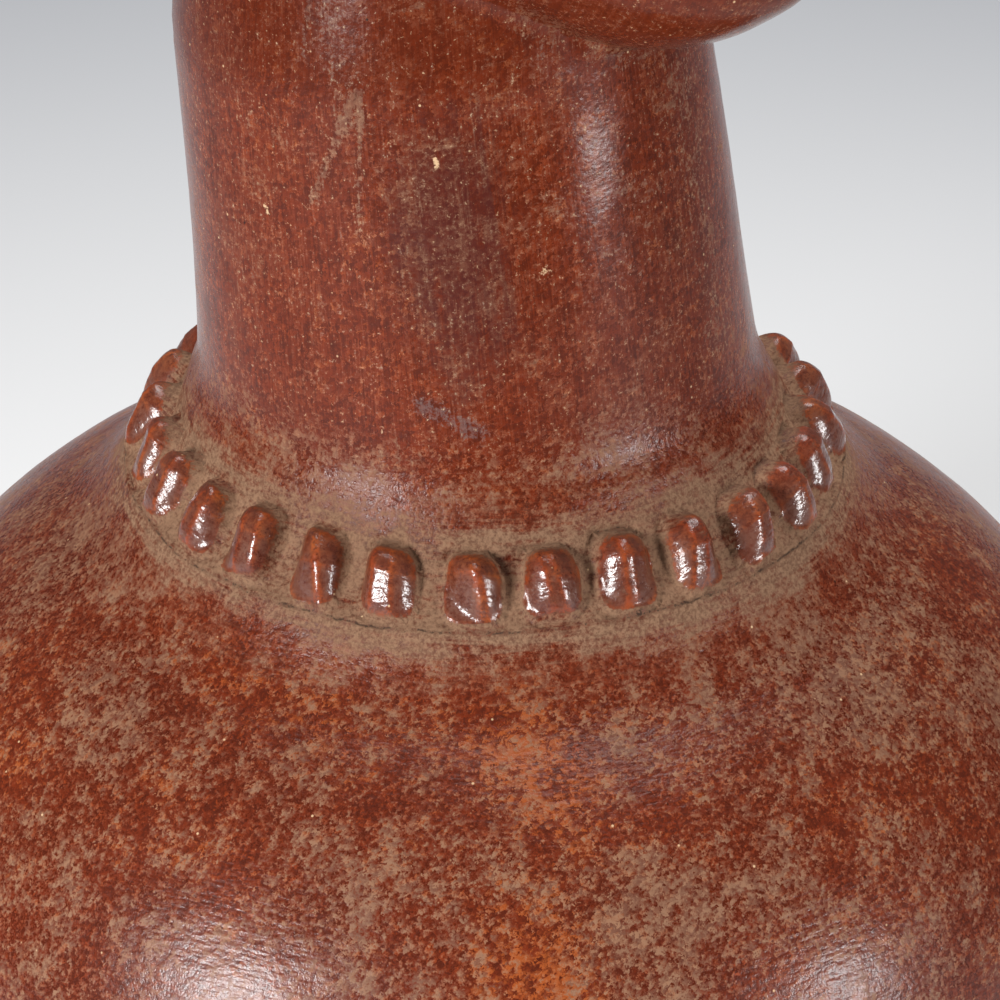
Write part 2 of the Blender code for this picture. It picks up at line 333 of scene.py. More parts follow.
def outside_form(p):
    """The head with jaw, ears and a close cap of hair, on its neck."""
    q = pair(forward(p))
    form = join(skull(p), egg(q, (0, -0.270, -0.380), (0.165, 0.140, 0.115)), 0.09)
    form = join(form, neck_stump(p), 0.001 + 0.055 * ease((p[..., 2] - NECK_LEVEL) / 0.15))
    ear = egg(q, (0.350, 0.030, -0.040), (0.050, 0.075, 0.140))
    hollow = egg(q, (0.415, 0.005, -0.030), (0.040, 0.045, 0.090))
    form = join(form, -join(-ear, hollow, 0.02), 0.025)
    cap = egg(q, (0, 0.050, 0.095), (0.388, 0.436, 0.420))
    return join(form, cap + 0.5 * np.clip(0.045 - above_hairline(q), 0, None), 0.012)


def inside_form(p):
    return join(skull(p, HEAD_WALL / HEAD_HEIGHT), neck_stump(p, WALL), 0.05)


def mound(across, up, half_width, half_height, rise):
    """A soft bump in the face, or a hollow where its rise is negative."""
    return rise * np.exp(-(across / half_width) ** 2 - (up / half_height) ** 2)


def nose(x, z):
    """A straight ridge from between the brows that ends in a tip and two wings."""
    down = np.clip((0.075 - z) / 0.250, 0, 1)
    ridge = (0.026 + 0.056 * down) * np.exp(-(x / (0.034 + 0.022 * down)) ** 2)
    bridge = ridge * ease((0.130 - z) / 0.090)
    tip = mound(x, z + 0.168, 0.052, 0.040, 0.020)
    wings = mound(np.abs(x) - 0.062, z + 0.185, 0.034, 0.036, 0.034)
    nostrils = mound(np.abs(x) - 0.034, z + 0.214, 0.013, 0.009, -0.022)
    return (bridge + tip + wings) * ease((z + 0.230) / 0.040) + nostrils


def groove(distance, half_width, depth):
    return -depth * np.exp(-(distance / half_width) ** 2)


def face_relief(x, z):
    """How far the features stand forward of the face mass, seen from the front."""
    side = np.abs(x)
    brow = mound(side - 0.125, z - 0.088 + 0.9 * (side - 0.125) ** 2, 0.095, 0.030, 0.018)
    socket = mound(side - 0.140, z - 0.005, 0.085, 0.058, -0.044)
    eye = mound(side - 0.140, z + 0.004, 0.060, 0.028, 0.044)
    almond = np.hypot((side - 0.140) / 0.058, (z + 0.003) / (0.024 - 0.010 * (side - 0.140) / 0.058))
    lids = groove(almond - 1.0, 0.16, 0.0055) + groove((z + 0.006) / 0.0045, 1.0, 0.005) * (almond < 0.9)
    cheek = mound(side - 0.185, z + 0.120, 0.080, 0.080, 0.016)
    muzzle = mound(x, z + 0.300, 0.130, 0.080, 0.014)
    upper = mound(x, z + 0.288, 0.090, 0.019, 0.032)
    lower = mound(x, z + 0.336, 0.074, 0.021, 0.034)
    lip_line = groove((z + 0.312 - 0.25 * side * side) / 0.006, 1.0, 0.010) * ease((0.100 - side) / 0.020)
    channel = groove(x / 0.012, 1.0, 0.006) * ease((z + 0.275) / 0.010) * ease((-0.222 - z) / 0.010)
    under_lip = mound(x, z + 0.378, 0.080, 0.020, -0.010)
    chin = mound(x, z + 0.425, 0.080, 0.040, 0.018)
    features = brow + socket + eye + lids + cheek + muzzle + upper + lower + lip_line + channel
    return features + under_lip + chin + nose(x, z)


def ray_hits(turns, dip, form):
    """Where rays at one angle from the crown leave the form. Their start moves forward as they rise."""
    rays = np.stack([np.sin(turns) * math.sin(dip), -np.cos(turns) * math.sin(dip),
                     np.full(len(turns), math.cos(dip))], 1)
    start = -forward(np.zeros(3)) * (1 + math.cos(dip)) / 2
    near, far = np.full(len(turns), 0.15), np.full(len(turns), 1.1)
    for _ in range(30):
        middle = (near + far) / 2
        within = form(start + rays * middle[:, None]) < 0
        near, far = np.where(within, middle, near), np.where(within, far, middle)
    return start + rays * near[:, None]


def from_head(p):
    """Head shares to metres, leaned back with the neck."""
    x, y, z = (p * HEAD_HEIGHT).T
    c, s = math.cos(NECK_LEAN), math.sin(NECK_LEAN)
    return np.stack([x, y * c + z * s, z * c - y * s], 1) + head_centre()


def head_ring(turns, dip):
    """A ring of the head's skin, its front pushed forward by the features."""
    points = ray_hits(turns, dip, outside_form)
    own = forward(points)
    front = ease((-own[:, 1] - 0.12) / 0.10) * ease((own[:, 2] + 0.50) / 0.06)
    points[:, 1] -= front * face_relief(own[:, 0], own[:, 2])
    hair = ease(above_hairline(own) / 0.030)
    return ring(from_head(points), turns, hair=hair)


def head_dips():
    """Angles from the crown: from under the jaw, closer over the face, up to the rim's foot."""
    lowest = math.atan2(NECK_TOP_RADIUS, NECK_LEVEL * HEAD_HEIGHT)
    jaw = np.linspace(lowest, math.radians(126), 22)
    face = np.linspace(math.radians(126), math.radians(78), 55)[1:]
    brow = np.linspace(math.radians(78), rim_dip(), 26)[1:]
    return np.concatenate([jaw, face, brow])


def rim_dip():
    return math.atan2(MOUTH_RADIUS + RIM_WALL, RIM_LEVEL * HEAD_HEIGHT)


def rim_ring(turns, radius, height, **facts):
    """A ring of the mouth's low collar, at a height above the crown."""
    x, y = radius * np.sin(turns), -radius * np.cos(turns) - HEAD_FORWARD
    level = np.full(len(turns), RIM_LEVEL * HEAD_HEIGHT + height)
    return ring(from_head(np.column_stack([x, y, level]) / HEAD_HEIGHT), turns, **facts)


def rim_outline():
    """(out from the mouth's bore, up from the crown) round the lip, from outside to inside."""
    outside = [(RIM_WALL + RIM_FLARE * flare, RIM_HEIGHT * height)
               for flare, height in ((0.0, 0.20), (0.22, 0.45), (0.50, 0.70), (0.72, 0.84))]
    middle, half = (RIM_WALL + 1.1 * RIM_FLARE) / 2, (RIM_WALL + 0.6 * RIM_FLARE) / 2
    lip = [(middle + half * math.cos(a), RIM_HEIGHT * (0.86 + 0.14 * math.sin(a)))
           for a in np.linspace(math.radians(10), math.radians(170), 9)]
    inside = [(RIM_FLARE * flare, RIM_HEIGHT * height)
              for flare, height in ((0.14, 0.72), (0.03, 0.45), (0.0, 0.15))]
    return outside + lip + inside


# Rings to skin

def outside_rings():
    """Every ring of the outside, from the resting spot to the rim's lip."""
    body, shoulder = even_turns(BODY_COLUMNS), even_turns(SHOULDER_COLUMNS)
    rings = [jar_ring(body, r, z) for r, z in lower_wall(31)]
    rings += [jar_ring(shoulder, r, z) for r, z in upper_wall(44)]
    rings += sweep_rings(17) + collar_rings(38)
    for share in np.linspace(0.018, 0.955, 40):
        rings.append(tube_ring(shoulder, neck_radius(share) - neck_dents(shoulder, share), share))
    rings += [head_ring(head_turns(), dip) for dip in head_dips()]
    rim = even_turns(RIM_COLUMNS)
    rings += [rim_ring(rim, MOUTH_RADIUS + out, up) for out, up in rim_outline()]
    return rings


def inside_rings():
    """Every ring of the inside, from the rim down to the floor."""
    turns = even_turns(INSIDE_COLUMNS)
    high = math.atan2(MOUTH_RADIUS, CAVITY_TOP_LEVEL * HEAD_HEIGHT)
    low = math.atan2(NECK_TOP_RADIUS - WALL, NECK_LEVEL * HEAD_HEIGHT)
    rings = [rim_ring(turns, MOUTH_RADIUS, 0.0, lining=1.0)]
    for dip in np.linspace(high, low, 22):
        rings.append(ring(from_head(ray_hits(turns, dip, inside_form)), turns, lining=1.0))
    for share in np.linspace(0.92, 0.08, 10):
        rings.append(tube_ring(turns, neck_radius(share) - WALL, share, lining=1.0))
    for share in (0.92, 0.75, 0.58, 0.41, 0.24, 0.07):
        (radius, height), along = collar_line(share)
        rings.append(jar_ring(turns, radius - WALL * along[1], height + WALL * along[0], lining=1.0))
    rings += [jar_lining(turns, r, z) for r, z in reversed(lower_wall(16) + upper_wall(10))]
    return rings


def jar_lining(turns, radius, height):
    """A ring of the inside, one wall in from the jar's outline, and one floor up from it below."""
    above = height - BELLY_HEIGHT
    squeeze = (BELLY_HEIGHT - FLOOR) / BELLY_HEIGHT if above < 0 else 1 - WALL / SHOULDER_RISE
    return jar_ring(turns, radius * (1 - WALL / BELLY_RADIUS), BELLY_HEIGHT + above * squeeze, lining=1.0)


def climb_of(rings):
    """How far up the outline each ring is, counted along it from the necklace's lower edge."""
    middles = [r["points"].mean(0) for r in rings]
    sizes = [np.linalg.norm((r["points"] - m)[:, :2], axis=1).mean() for r, m in zip(rings, middles)]
    outline = np.array([(size, middle[2]) for size, middle in zip(sizes, middles)])
    climbs = np.concatenate([[0.0], np.cumsum(np.linalg.norm(np.diff(outline, axis=0), axis=1))])
    foot = int(np.argmin([abs(z - collar_foot()[1]) + abs(r - COLLAR_RADIUS) for r, z in outline]))
    return climbs - climbs[foot]


def skin_mesh(rings):
    """Joins each ring to the next, by quads where their columns match and by a bridge where not."""
    bm = bmesh.new()
    lines = [[bm.verts.new(point) for point in r["points"]] for r in rings]
    for below, over in zip(lines, lines[1:]):
        if len(below) == len(over):
            for i in range(len(below)):
                bm.faces.new((below[i - 1], below[i], over[i], over[i - 1]))
        else:
            bmesh.ops.bridge_loops(bm, edges=ring_edges(bm, below) + ring_edges(bm, over))
    for end in (lines[0], lines[-1]):
        bmesh.ops.edgeloop_fill(bm, edges=ring_edges(bm, end))
    bmesh.ops.recalc_face_normals(bm, faces=bm.faces)
    mesh = bpy.data.meshes.new("vessel_clay")
    bm.to_mesh(mesh)
    bm.free()
    return mesh


def ring_edges(bm, corners):
    """The closed ring of edges through the corners, new ones where there are none yet."""
    edges = []
    for ends in zip(corners, corners[1:] + corners[:1]):
        edges.append(bm.edges.get(ends) or bm.edges.new(ends))
    return edges


def note(mesh, name, kind, values):
    """Writes a value for each corner of the skin."""
    attribute = mesh.attributes.new(name, kind, "POINT")
    field = "vector" if kind == "FLOAT_VECTOR" else "value"
    attribute.data.foreach_set(field, np.asarray(values, dtype=np.float32).ravel())


def build_skin():
    rings = outside_rings() + inside_rings()
    mesh = skin_mesh(rings)
    climbs = np.concatenate([np.full(len(r["points"]), c) for r, c in zip(rings, climb_of(rings))])
    turns = np.concatenate([r["turn"] for r in rings])
    for name in ("turn", "band", "hair", "lining"):
        note(mesh, name, "FLOAT", np.concatenate([r[name] for r in rings]))
    note(mesh, "out", "FLOAT_VECTOR", np.concatenate([r["out"] for r in rings]))
    grain = np.column_stack([NECK_FOOT_RADIUS * np.sin(turns), -NECK_FOOT_RADIUS * np.cos(turns), climbs])
    note(mesh, "grain", "FLOAT_VECTOR", grain)
    mesh.shade_smooth()
    mesh.set_sharp_from_angle(angle=SHARP_FROM)
    return mesh


# Sums in node trees

class Sum:
    """A number worked out by nodes, for each place on the skin."""

    def __init__(self, tree, socket):
        self.tree = tree
        self.socket = socket

    def run(self, operation, *others):
        node = self.tree.nodes.new("ShaderNodeMath")
        node.operation = operation
        for slot, value in zip(node.inputs, (self, *others)):
            feed(self.tree, slot, value)
        return Sum(self.tree, node.outputs[0])

    def __add__(self, other):
        return self.run("ADD", other)

    def __sub__(self, other):
        return self.run("SUBTRACT", other)

    def __mul__(self, other):
        return self.run("MULTIPLY", other)

    def __truediv__(self, other):
        return self.run("DIVIDE", other)

    def __pow__(self, other):
        return self.run("POWER", other)

    def __neg__(self):
        return self.run("MULTIPLY", -1.0)

    def __abs__(self):
        return self.run("ABSOLUTE")

    __radd__ = __add__
    __rmul__ = __mul__

    def __rsub__(self, other):
        return -self + other

    def __rtruediv__(self, other):
        return self ** -1.0 * other

    def at_least(self, low):
        return self.run("MAXIMUM", low)

    def at_most(self, high):
        return self.run("MINIMUM", high)

    def rise(self, low, high):
        """Smoothly from 0 at low to 1 at high, or the other way where high is the smaller."""
        node = self.tree.nodes.new("ShaderNodeMapRange")
        node.interpolation_type = "SMOOTHSTEP"
        feed(self.tree, node.inputs["Value"], self)
        feed(self.tree, node.inputs["From Min"], low)
        feed(self.tree, node.inputs["From Max"], high)
        return Sum(self.tree, node.outputs["Result"])

    def hump(self, half_width):
        """1 at zero, falling away on both sides."""
        return (-((self / half_width) ** 2)).run("EXPONENT")


def feed(tree, slot, value):
    """Links a socket to a value that nodes work out, or sets it to a plain one."""
    if isinstance(value, Sum):
        tree.links.new(value.socket, slot)
    elif isinstance(value, bpy.types.NodeSocket):
        tree.links.new(value, slot)
    else:
        slot.default_value = value


def cloud(tree, place, size, detail=2.0, rough=0.5, apart=0.0, warp=0.0):
    """Soft noise from 0 to 1, with lumps of about this size, or these sizes along x, y and z."""
    sizes = size if isinstance(size, tuple) else (size, size, size)
    scaled = tree.nodes.new("ShaderNodeVectorMath")
    scaled.operation = "MULTIPLY_ADD"
    feed(tree, scaled.inputs[0], place)
    scaled.inputs[1].default_value = [1 / each for each in sizes]
    scaled.inputs[2].default_value = (apart, 1.7 * apart, 2.3 * apart)
    node = tree.nodes.new("ShaderNodeTexNoise")
    tree.links.new(scaled.outputs[0], node.inputs["Vector"])
    node.inputs["Scale"].default_value = 1.0
    node.inputs["Detail"].default_value = detail
    node.inputs["Roughness"].default_value = rough
    node.inputs["Distortion"].default_value = warp
    return Sum(tree, node.outputs[0])


# Relief of beads, hair and clay

RELIEF_INPUTS = (
    ("Bead Count", "NodeSocketInt", BEAD_COUNT),
    ("Bead Width", "NodeSocketFloat", BEAD_WIDTH),
    ("Bead Length", "NodeSocketFloat", BEAD_LENGTH),
    ("Bead Relief", "NodeSocketFloat", BEAD_RELIEF),
    ("Facet Depth", "NodeSocketFloat", 0.0014),
    ("Crease Depth", "NodeSocketFloat", 0.0009),
    ("Lock Depth", "NodeSocketFloat", 0.0006),
    ("Unevenness", "NodeSocketFloat", 0.00032),
    ("Seed", "NodeSocketInt", 7),
)
HAIR_LOCKS = 40


def read(tree, name, kind="FLOAT"):
    node = tree.nodes.new("GeometryNodeInputNamedAttribute")
    node.data_type = kind
    node.inputs["Name"].default_value = name
    return node.outputs["Attribute"]


def bead_draw(tree, index, seed, low, high, salt):
    """A number between low and high for each bead."""
    node = tree.nodes.new("FunctionNodeRandomValue")
    node.data_type = "FLOAT"
    feed(tree, node.inputs["ID"], index)
    feed(tree, node.inputs["Seed"], seed + salt)
    plain = [slot for slot in node.inputs if slot.type == "VALUE"]
    plain[0].default_value = low
    plain[1].default_value = high
    return Sum(tree, [slot for slot in node.outputs if slot.type == "VALUE"][0])


def bead_shape(tree, given):
    """How far the clay stands out at the necklace, and what its finish needs to know of the beads."""
    turn, band = Sum(tree, read(tree, "turn")), Sum(tree, read(tree, "band"))
    pitch = math.tau / given["Bead Count"]
    index = (turn / pitch).run("FLOOR")

    def draw(low, high, salt):
        return bead_draw(tree, index, given["Seed"], low, high, salt)

    half_width = given["Bead Width"] * draw(0.46, 0.54, 1)
    half_length = given["Bead Length"] * draw(0.46, 0.53, 2)
    across = (turn - (index + 0.5) * pitch) * COLLAR_RADIUS + draw(-0.0006, 0.0006, 3)
    across = across + band * draw(-0.16, 0.16, 4)
    along = band + draw(-0.0005, 0.0005, 5) + across * draw(-0.10, 0.10, 11)
    inside = 1 - abs(across / half_width) ** BEAD_SQUARENESS - abs(along / half_length) ** BEAD_SQUARENESS
    dome = given["Bead Relief"] * draw(0.90, 1.06, 6) * inside.at_least(0.0) ** BEAD_SWELL

    # Each bead has a face down its middle, two that slope aside, and a lower half that leans back
    side = across - half_width * draw(-0.22, 0.22, 7) - along * draw(-0.3, 0.3, 12)
    middle = half_width * draw(0.04, 0.46, 15)
    within = inside.rise(0.0, 0.30)
    roof = (abs(side) - middle).at_least(0.0) * draw(0.40, 0.52, 13)
    brow = half_length * draw(0.05, 0.45, 8)
    below = (brow - along - side * draw(-0.4, 0.4, 9)).at_least(0.0)
    facets = (roof + below * draw(0.20, 0.34, 14)) * within
    side = abs(side) - middle
    worn = (side.hump(0.0008) + (along - brow).hump(0.0006) * 0.5).at_most(1.0) * inside.rise(0.05, 0.4)
    edge = inside.rise(0.02, 0.15) * inside.rise(0.50, 0.25)
    lie = along / half_length
    # The crease is deepest at a bead's upper and lower ends; the finish also paints shade along it
    ends = lie.rise(0.45, 1.0) + lie.rise(-0.55, -1.05) * 0.8
    crease = (inside + 0.16).hump(0.18) * (ends + 0.15) * draw(0.4, 1.0, 10)
    raised = (dome + given["Facet Depth"] * within - facets).at_least(dome * 0.3)
    out = raised - crease * given["Crease Depth"]
    bead = inside.rise(-0.25, 0.45)
    notes = {"worn": (worn + edge * 0.7).at_most(1.0), "crease": crease, "lie": lie, "bead": bead}
    return out, notes


def push(tree, skin, direction, distance):
    """Moves the skin by a distance along a direction."""
    scaled = tree.nodes.new("ShaderNodeVectorMath")
    scaled.operation = "SCALE"
    feed(tree, scaled.inputs[0], direction)
    feed(tree, scaled.inputs["Scale"], distance)
    mover = tree.nodes.new("GeometryNodeSetPosition")
    tree.links.new(skin, mover.inputs["Geometry"])
    tree.links.new(scaled.outputs[0], mover.inputs["Offset"])
    return mover.outputs["Geometry"]


def keep(tree, skin, name, value):
    """Stores a value on the skin, for the clay's finish."""
    node = tree.nodes.new("GeometryNodeStoreNamedAttribute")
    node.data_type = "FLOAT"
    node.domain = "POINT"
    node.inputs["Name"].default_value = name
    tree.links.new(skin, node.inputs["Geometry"])
    feed(tree, node.inputs["Value"], value)
    return node.outputs["Geometry"]


def relief_tree():
    """Raises the beads and the locks of hair, and makes the wall as uneven as hands leave it."""
    tree = bpy.data.node_groups.new("clay_relief", "GeometryNodeTree")
    tree.interface.new_socket("Skin", in_out="INPUT", socket_type="NodeSocketGeometry")
    for name, kind, _ in RELIEF_INPUTS:
        tree.interface.new_socket(name, in_out="INPUT", socket_type=kind)
    tree.interface.new_socket("Clay", in_out="INPUT", socket_type="NodeSocketMaterial")
    tree.interface.new_socket("Skin", in_out="OUTPUT", socket_type="NodeSocketGeometry")
    start = tree.nodes.new("NodeGroupInput")
    given = {name: Sum(tree, start.outputs[name]) for name, _, _ in RELIEF_INPUTS}

    out, notes = bead_shape(tree, given)
    skin = start.outputs["Skin"]
    for name, value in notes.items():
        skin = keep(tree, skin, name, value)
    skin = push(tree, skin, read(tree, "out", "FLOAT_VECTOR"), out)

    place = tree.nodes.new("GeometryNodeInputPosition").outputs[0]
    normal = tree.nodes.new("GeometryNodeInputNormal").outputs[0]
    apart = tree.nodes.new("ShaderNodeSeparateXYZ")
    tree.links.new(place, apart.inputs[0])
    off_the_floor = Sum(tree, apart.outputs["Z"]).rise(0.001, 0.016)
    broad, small = cloud(tree, place, 0.034, 1.0), cloud(tree, place, 0.0085, 2.0, apart=5.0)
    dents = ((1 - broad) * 2.4 + (1 - small) * 0.9) * given["Unevenness"] * off_the_floor
    lock = (Sum(tree, read(tree, "turn")) * HAIR_LOCKS + (broad - 0.5) * 5.0).run("COSINE")
    combed = (0.5 - lock * 0.5) ** 3 * Sum(tree, read(tree, "hair")) * given["Lock Depth"]
    skin = push(tree, skin, normal, -(dents + combed))

    whole = tree.nodes.new("GeometryNodeRealizeInstances")
    tree.links.new(skin, whole.inputs["Geometry"])
    painted = tree.nodes.new("GeometryNodeSetMaterial")
    tree.links.new(whole.outputs["Geometry"], painted.inputs["Geometry"])
    tree.links.new(start.outputs["Clay"], painted.inputs["Material"])
    end = tree.nodes.new("NodeGroupOutput")
    tree.links.new(painted.outputs["Geometry"], end.inputs["Skin"])
    return tree


def socket_key(tree, name):
    """The identifier of a tree's input."""
    for item in tree.interface.items_tree:
        if item.name == name and item.in_out == "INPUT":
            return item.identifier
    raise KeyError(name)


def with_relief(mesh, clay):
    """The skin with its relief, as a plain mesh on a new object."""
    tree = relief_tree()
    raw = bpy.data.objects.new("raw_skin", mesh)
    bpy.context.scene.collection.objects.link(raw)
    modifier = raw.modifiers.new("relief", "NODES")
    modifier.node_group = tree
    for name, _, value in RELIEF_INPUTS:
        modifier[socket_key(tree, name)] = value
    modifier[socket_key(tree, "Clay")] = clay
    graph = bpy.context.evaluated_depsgraph_get()
    finished = bpy.data.meshes.new_from_object(raw.evaluated_get(graph), depsgraph=graph)
    raw.modifiers.remove(modifier)
    bpy.data.objects.remove(raw)
    finished.name = "vessel_clay"
    vessel = bpy.data.objects.new("vessel_clay", finished)
    bpy.context.scene.collection.objects.link(vessel)
    return vessel


# Clay finish

def paint(red, green, blue):
    """A colour as it looks on a screen, 0 to 255, to what light does with it."""
    levels = [level / 255 for level in (red, green, blue)]
    return tuple(c / 12.92 if c <= 0.04045 else ((c + 0.055) / 1.055) ** 2.4 for c in levels) + (1.0,)


SLIP_DARK = paint(80, 29, 14)
SLIP = paint(115, 42, 17)
SLIP_BRIGHT = paint(142, 58, 24)
ORANGE = paint(162, 82, 38)
FILM = paint(142, 112, 88)
FILM_DARK = paint(108, 74, 58)
FILM_BLUE = paint(104, 88, 86)
# Grey of a painted sheen on the beads' lower faces
FACET_SHEEN = paint(116, 78, 66)
STAIN = paint(74, 34, 30)
DUST = paint(146, 113, 88)
DUST_DARK = paint(104, 75, 56)
DUST_THIN = paint(124, 73, 53)
GRIT = paint(232, 196, 152)
# Dark soot for the pits, and painted shade in the creases round the beads
SOOT_AND_SHADE = paint(36, 22, 16)
LINING = paint(120, 74, 52)


def layer(tree, cover, below, above):
    """One colour laid over another where the cover is 1."""
    node = tree.nodes.new("ShaderNodeMix")
    node.data_type = "RGBA"
    node.clamp_factor = True
    colours = [slot for slot in node.inputs if slot.type == "RGBA"]
    feed(tree, [slot for slot in node.inputs if slot.type == "VALUE"][0], cover)
    feed(tree, colours[0], below)
    feed(tree, colours[1], above)
    return [slot for slot in node.outputs if slot.type == "RGBA"][0]


def noted(tree, name):
    node = tree.nodes.new("ShaderNodeAttribute")
    node.attribute_name = name
    return node


def near(tree, place, centre, reach):
    """1 at a centre, falling to 0 at the reach along x, y and z."""
    away = tree.nodes.new("ShaderNodeVectorMath")
    away.operation = "SUBTRACT"
    feed(tree, away.inputs[0], place)
    away.inputs[1].default_value = centre
    shrunk = tree.nodes.new("ShaderNodeVectorMath")
    shrunk.operation = "DIVIDE"
    tree.links.new(away.outputs[0], shrunk.inputs[0])
    shrunk.inputs[1].default_value = reach
    length = tree.nodes.new("ShaderNodeVectorMath")
    length.operation = "LENGTH"
    tree.links.new(shrunk.outputs[0], length.inputs[0])
    return Sum(tree, length.outputs["Value"]).rise(1.0, 0.0)


def flakes(tree, place, size, apart, stir):
    """Two random numbers for each of many small patches, their edges stirred about."""
    moved = tree.nodes.new("ShaderNodeVectorMath")
    moved.operation = "MULTIPLY_ADD"
    feed(tree, moved.inputs[0], place)
    moved.inputs[1].default_value = [1 / size] * 3
    wobble = tree.nodes.new("ShaderNodeCombineXYZ")
    for slot, sign in zip(wobble.inputs, (1, -1, 1)):
        feed(tree, slot, stir * (3.0 * sign) + apart)
    tree.links.new(wobble.outputs[0], moved.inputs[2])
    cells = tree.nodes.new("ShaderNodeTexVoronoi")
    cells.inputs["Scale"].default_value = 1.0
    tree.links.new(moved.outputs[0], cells.inputs["Vector"])
    parts = tree.nodes.new("ShaderNodeSeparateColor")
    tree.links.new(cells.outputs["Color"], parts.inputs[0])
    return Sum(tree, parts.outputs[0]), Sum(tree, parts.outputs[1])


def spots(tree, place, patches):
    """Several soft spots as one cover. Each has a centre, its reach along x, y and z, and a strength."""
    cover = 0.0
    for centre, reach, strength in patches:
        cover = near(tree, place, centre, reach) * strength + cover
    return cover


def specks(tree, place, size, reach, share, apart):
    """Small round specks, one in a share of the cells of this size, each as wide as its reach."""
    scaled = tree.nodes.new("ShaderNodeVectorMath")
    scaled.operation = "MULTIPLY_ADD"
    feed(tree, scaled.inputs[0], place)
    scaled.inputs[1].default_value = [1 / size] * 3
    scaled.inputs[2].default_value = [apart] * 3
    cells = tree.nodes.new("ShaderNodeTexVoronoi")
    cells.inputs["Scale"].default_value = 1.0
    tree.links.new(scaled.outputs[0], cells.inputs["Vector"])
    chosen = tree.nodes.new("ShaderNodeSeparateColor")
    tree.links.new(cells.outputs["Color"], chosen.inputs[0])
    picked = Sum(tree, chosen.outputs[0]).rise(1 - share, 1.001 - share)
    spot = Sum(tree, cells.outputs["Distance"]).rise(reach, 0.4 * reach)
    return picked * spot


def smear(tree, place, start, end, half_width):
    """1 along a line from start to end, falling to 0 at half a width from it."""
    def mix(operation, *values):
        node = tree.nodes.new("ShaderNodeVectorMath")
        node.operation = operation
        for slot, value in zip(node.inputs, values):
            feed(tree, slot, value)
        return node

    run = Vector(end) - Vector(start)
    away = mix("SUBTRACT", place, start).outputs[0]
    share = Sum(tree, mix("DOT_PRODUCT", away, run / run.length_squared).outputs["Value"])
    along = mix("SCALE", run)
    feed(tree, along.inputs["Scale"], share.at_least(0.0).at_most(1.0))
    off = mix("DISTANCE", away, along.outputs[0]).outputs["Value"]
    return Sum(tree, off).rise(half_width, 0.0)


def smears(tree, grain, lines):
    """Several lines as one cover. Each is (turn, climb) at both ends, half a width and a strength."""
    cover = 0.0
    for start, end, half_width, strength in lines:
        cover = smear(tree, grain, grain_spot(*start), grain_spot(*end), half_width) * strength + cover
    return cover


# Noises of the finish: size of the lumps in metres, detail, roughness, where they start, warp
NOISES = {
    "wide": (0.034, 1.0, 0.50, 3.0),
    "mottle": (0.0110, 3.0, 0.70, 9.0),
    "fleck": (0.0032, 4.0, 0.80, 14.0),
    "fine": (0.0010, 2.0, 0.80, 21.0),
    "streak": ((0.0007, 0.0007, 0.016), 3.0, 0.75, 27.0),
    "comb": ((0.005, 0.005, 0.030), 3.0, 0.60, 33.0, 0.6),
    "brush": ((0.014, 0.014, 0.0012), 3.0, 0.75, 39.0),
    "ripple": ((0.0020, 0.0020, 0.0013), 1.0, 0.55, 45.0),
}
FLAKE_SIZE = 0.0011

# Specks: size of a cell in metres, reach as a share of it, share of the cells, where they start
GRITS = (0.0056, 0.070, 0.40, 2.0)
PITS = (0.0085, 0.050, 0.30, 8.0)

# Spots on the shoulder that are rubbed to orange, or under heavy film: centre, reach, strength
AMBER_SPOTS = (
    ((-0.080, -0.070, 0.213), (0.030, 0.030, 0.030), 1.0),
    ((-0.108, -0.087, 0.184), (0.026, 0.026, 0.026), 1.0),
    ((-0.097, -0.024, 0.217), (0.020, 0.020, 0.020), 0.6),
)
HEAVY_SPOTS = (
    ((-0.007, -0.112, 0.209), (0.050, 0.040, 0.040), 1.0),
    ((-0.093, -0.099, 0.188), (0.028, 0.028, 0.026), 1.4),
    ((-0.068, 0.067, 0.219), (0.030, 0.030, 0.030), 0.8),
    ((-0.112, 0.023, 0.208), (0.024, 0.030, 0.024), 0.7),
)

# Spots and marks on the neck, their places as (turn in degrees, climb in metres)
NECK_AMBER = (-70.0, 0.075)
NECK_AMBER_REACH = (0.018, 0.018, 0.036)
NECK_STAIN = (-55.0, 0.085)
NECK_STAIN_REACH = (0.036, 0.036, 0.064)
FILM_SMEARS = (
    ((-71.8, 0.1167), (-84.0, 0.0919), 0.0024, 0.9),
    ((-71.2, 0.1145), (-74.5, 0.0854), 0.0018, 0.7),
    ((-83.0, 0.1352), (-85.0, 0.1247), 0.0016, 0.8),
    ((-78.5, 0.1305), (-73.5, 0.1101), 0.0090, 0.5),
    ((-36.0, 0.1290), (-12.0, 0.1180), 0.0110, 0.8),
    ((-70.5, 0.0406), (-70.2, 0.0285), 0.0012, 0.8),
    ((-68.3, 0.0420), (-68.0, 0.0300), 0.0010, 0.7),
    ((-66.0, 0.0385), (-65.9, 0.0285), 0.0011, 0.7),
    ((4.0, 0.1100), (5.0, 0.0490), 0.0140, 0.5),
)
BLUE_SMEARS = (((-64.5, 0.0486), (-54.2, 0.0428), 0.0042, 0.85),)
PALE_CHIPS = (
    ((-57.0, 0.1010), (-56.6, 0.0996), 0.0013, 0.9),
    ((-96.6, 0.0890), (-95.9, 0.0877), 0.0012, 0.8),
    ((-37.8, 0.0742), (-37.0, 0.0738), 0.0014, 0.8),
)


def grain_spot(turn_degrees, climb):
    """A place on the neck, in the grain's own measure."""
    turn = math.radians(turn_degrees)
    return (NECK_FOOT_RADIUS * math.sin(turn), -NECK_FOOT_RADIUS * math.cos(turn), climb)


